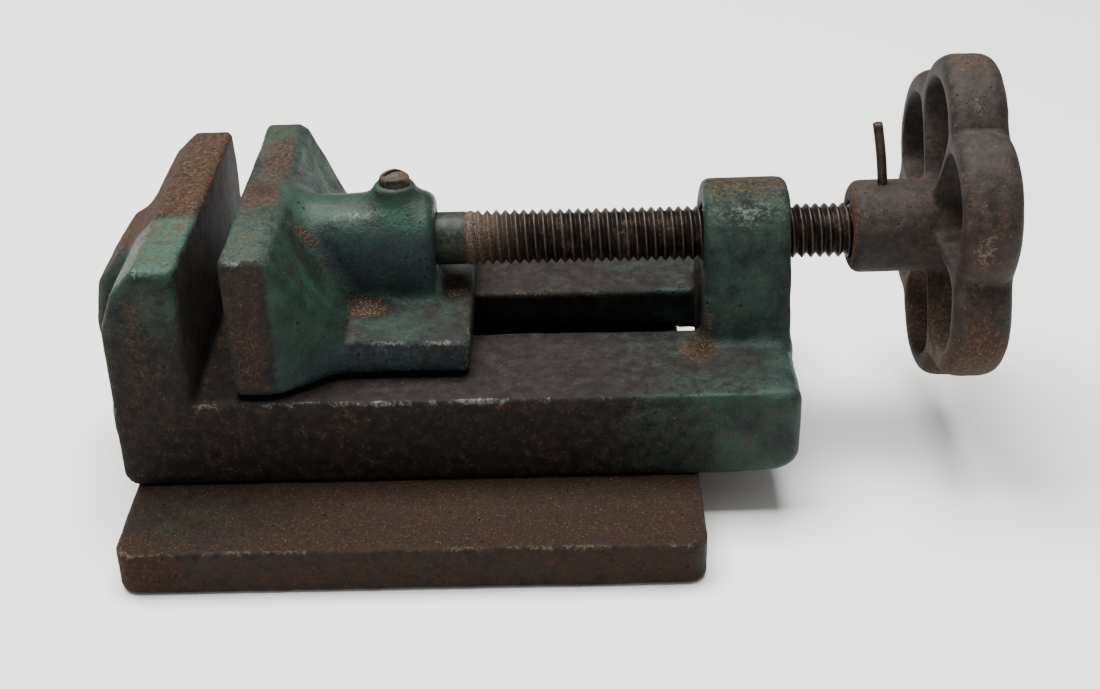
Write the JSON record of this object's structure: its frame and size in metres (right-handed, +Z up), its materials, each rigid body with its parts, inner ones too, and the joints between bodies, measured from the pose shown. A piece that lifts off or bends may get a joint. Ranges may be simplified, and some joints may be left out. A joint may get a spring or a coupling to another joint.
{
  "type": "machine vise",
  "caption": "Low drill-press vise: cast bed on a flat base plate, fixed jaw, sliding jaw, threaded lead screw and a lobed handwheel.",
  "frame": {"origin": "centre of the base plate's underside", "axes": "+X along the lead screw towards the handwheel, +Y across the jaws to the rear, +Z up"},
  "size_m": [0.2061, 0.1306, 0.0933],
  "materials": {
    "green_casting": "worn dark green enamel over rusty grey iron, rough",
    "green_jaw": "worn dark green enamel, glossy patches and rust in the corners",
    "plate_steel": "dark brown rusty steel, pitted",
    "wheel_casting": "worn brown iron with rust and traces of green enamel",
    "screw_steel": "dark oiled steel thread, rusty in the roots",
    "fastener_steel": "dull steel, lightly rusted",
    "hidden_steel": "dark oily steel",
    "nail_steel": "brown rusted wire"
  },
  "bodies": {
    "base": {"vise_body": "green_casting", "base_plate": "plate_steel", "plate_screw_left_front": "hidden_steel", "plate_screw_left_rear": "hidden_steel", "plate_screw_right_front": "hidden_steel", "plate_screw_right_rear": "hidden_steel"},
    "jaw": {"sliding_jaw": "green_jaw", "keeper_plate": "hidden_steel", "keeper_screw_left": "hidden_steel", "keeper_screw_right": "hidden_steel", "retaining_screw": "fastener_steel"},
    "screw": {"lead_screw": "screw_steel", "handwheel": "wheel_casting", "wheel_pin": "nail_steel"}
  },
  "joints": [
    {"name": "jaw_slide", "type": "slide", "parent": "base", "child": "jaw", "axis": [1, 0, 0], "range_m": [-0.0085, 0.05]},
    {"name": "screw_spin", "type": "hinge", "parent": "jaw", "child": "screw", "pos_m": [0.05, 0, 0.0519], "axis": [1, 0, 0], "range_deg": [-1444, 8500]}
  ],
  "couplings": [
    {"joint": "jaw_slide", "follows": "screw_spin", "m_per_rad": 0.00033688}
  ]
}
